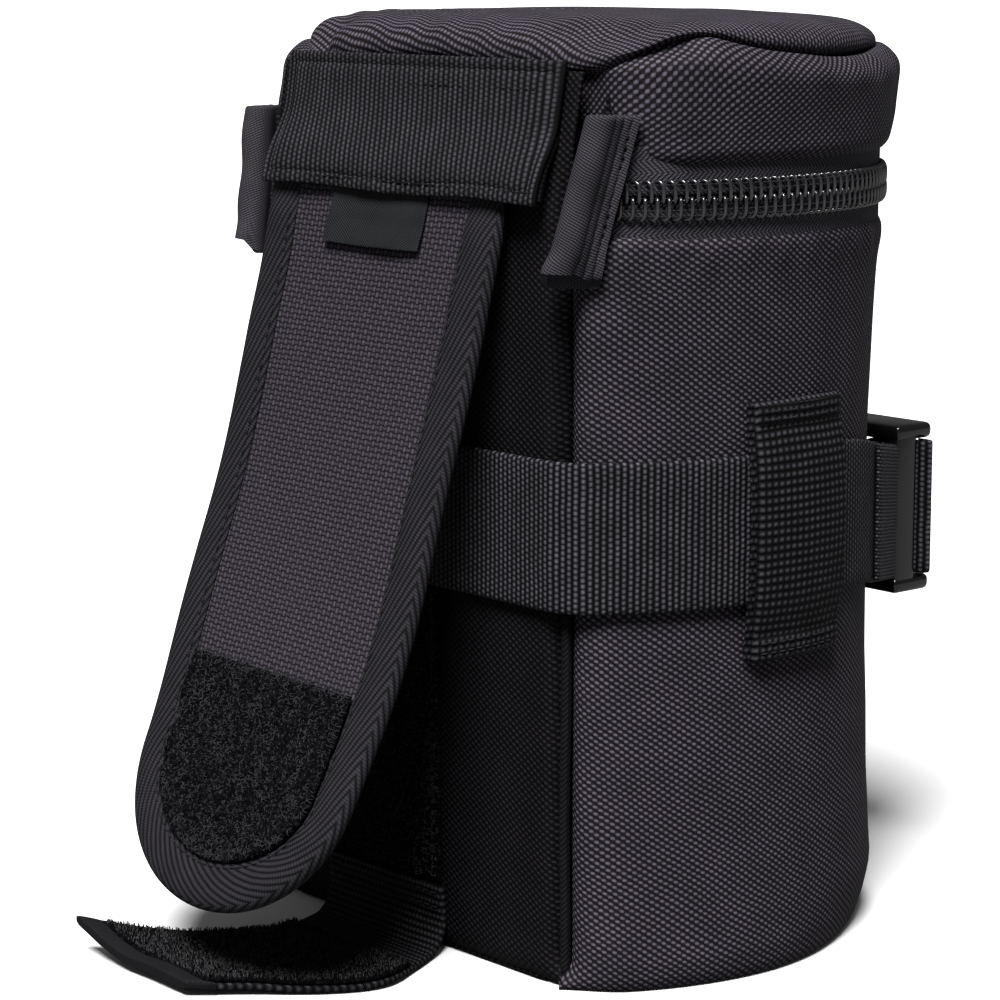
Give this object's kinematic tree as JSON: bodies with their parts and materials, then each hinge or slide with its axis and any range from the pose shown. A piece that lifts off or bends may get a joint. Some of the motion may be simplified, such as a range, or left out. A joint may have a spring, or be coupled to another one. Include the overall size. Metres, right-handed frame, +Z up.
{
  "type": "padded lens pouch",
  "caption": "Padded cylindrical pouch with a flat back, zipped lid, hook-and-loop belt flap, webbing belt and buckle.",
  "frame": {"origin": "on the floor, on the axis of the round wall, under the pouch", "axes": "+Z up, -Y out of the flat back with the belt flap, +Y out of the round front with the buckle, +X towards the side that carries the male half of the buckle"},
  "size_m": [0.1346, 0.1797, 0.194],
  "materials": {
    "ballistic_fabric": "woven",
    "closed_cell_foam": "matte",
    "lining_fabric": "matte",
    "webbing": "woven",
    "canvas": "woven",
    "binding_tape": "woven",
    "loop_fastener": "fuzzy",
    "hook_fastener": "matte",
    "zip_tape": "woven",
    "zip_coil": "gloss",
    "moulded_plastic": "satin",
    "painted_slider": "satin",
    "woven_label": "woven"
  },
  "bodies": {
    "pouch": {"outer_wrap": "ballistic_fabric", "outer_back_panel": "ballistic_fabric", "outer_base": "ballistic_fabric", "foam_wrap": "closed_cell_foam", "foam_back": "closed_cell_foam", "foam_base": "closed_cell_foam", "lining_wrap": "lining_fabric", "lining_back": "lining_fabric", "lining_base": "lining_fabric", "corner_piping_left": "binding_tape", "corner_piping_right": "binding_tape", "zip_tape_lower": "zip_tape", "zip_coil_lower": "zip_coil", "corner_fold_left": "ballistic_fabric", "corner_fold_right": "ballistic_fabric", "strap_loop_left": "webbing", "strap_loop_right": "webbing", "flap_hem": "canvas", "top_band": "webbing", "back_loop_panel": "loop_fastener", "compression_belt": "webbing", "belt_end": "webbing", "belt_loop_left": "webbing", "belt_loop_right": "webbing", "buckle_female": "moulded_plastic", "buckle_male": "moulded_plastic"},
    "lid": {"lid_side": "ballistic_fabric", "lid_top_panel": "ballistic_fabric", "lid_foam_side": "closed_cell_foam", "lid_foam_top": "closed_cell_foam", "lid_lining_side": "lining_fabric", "lid_lining_top": "lining_fabric", "zip_tape_upper": "zip_tape", "zip_coil_upper": "zip_coil"},
    "flap": {"flap_panel": "canvas", "flap_lining": "lining_fabric", "flap_binding": "binding_tape", "flap_loop_patch": "loop_fastener", "flap_hook_patch": "hook_fastener", "label": "woven_label"},
    "hook_strap": {"hook_strap_webbing": "webbing", "hook_strap_patch": "hook_fastener", "hook_strap_hem": "binding_tape"},
    "slider_left": {"zip_slider_left": "painted_slider"},
    "slider_right": {"zip_slider_right": "painted_slider"},
    "pull_left": {"zip_pull_left": "painted_slider"},
    "pull_right": {"zip_pull_right": "painted_slider"},
    "prong_upper": {"buckle_prong_upper": "moulded_plastic"},
    "prong_lower": {"buckle_prong_lower": "moulded_plastic"}
  },
  "joints": [
    {"name": "lid_hinge", "type": "hinge", "parent": "pouch", "child": "lid", "pos_m": [0, -0.0375, 0.186], "axis": [1, 0, 0], "range_deg": [0, 105]},
    {"name": "flap_hinge", "type": "hinge", "parent": "pouch", "child": "flap", "pos_m": [0, -0.0462, 0.1546], "axis": [-1, 0, 0], "range_deg": [-8, 70]},
    {"name": "strap_hinge", "type": "hinge", "parent": "pouch", "child": "hook_strap", "pos_m": [0, -0.0441, 0.0139], "axis": [-1, 0, 0], "range_deg": [0, 4]},
    {"name": "slider_left_run", "type": "hinge", "parent": "pouch", "child": "slider_left", "pos_m": [0, 0, 0.158], "axis": [0, 0, 1], "range_deg": [0, 98]},
    {"name": "slider_right_run", "type": "hinge", "parent": "pouch", "child": "slider_right", "pos_m": [0, 0, 0.158], "axis": [0, 0, -1], "range_deg": [0, 98]},
    {"name": "pull_left_swing", "type": "hinge", "parent": "slider_left", "child": "pull_left", "pos_m": [-0.00846, 0.06888, 0.158], "axis": [0.9925, 0.1219, 0], "range_deg": [0, 100]},
    {"name": "pull_right_swing", "type": "hinge", "parent": "slider_right", "child": "pull_right", "pos_m": [0.00846, 0.06888, 0.158], "axis": [0.9925, -0.1219, 0], "range_deg": [0, 100]},
    {"name": "prong_upper_squeeze", "type": "hinge", "parent": "pouch", "child": "prong_upper", "pos_m": [0.0035, 0.0716, 0.0946], "axis": [0, -1, 0], "range_deg": [0, 10]},
    {"name": "prong_lower_squeeze", "type": "hinge", "parent": "pouch", "child": "prong_lower", "pos_m": [0.0035, 0.0716, 0.0704], "axis": [0, 1, 0], "range_deg": [0, 10]}
  ]
}
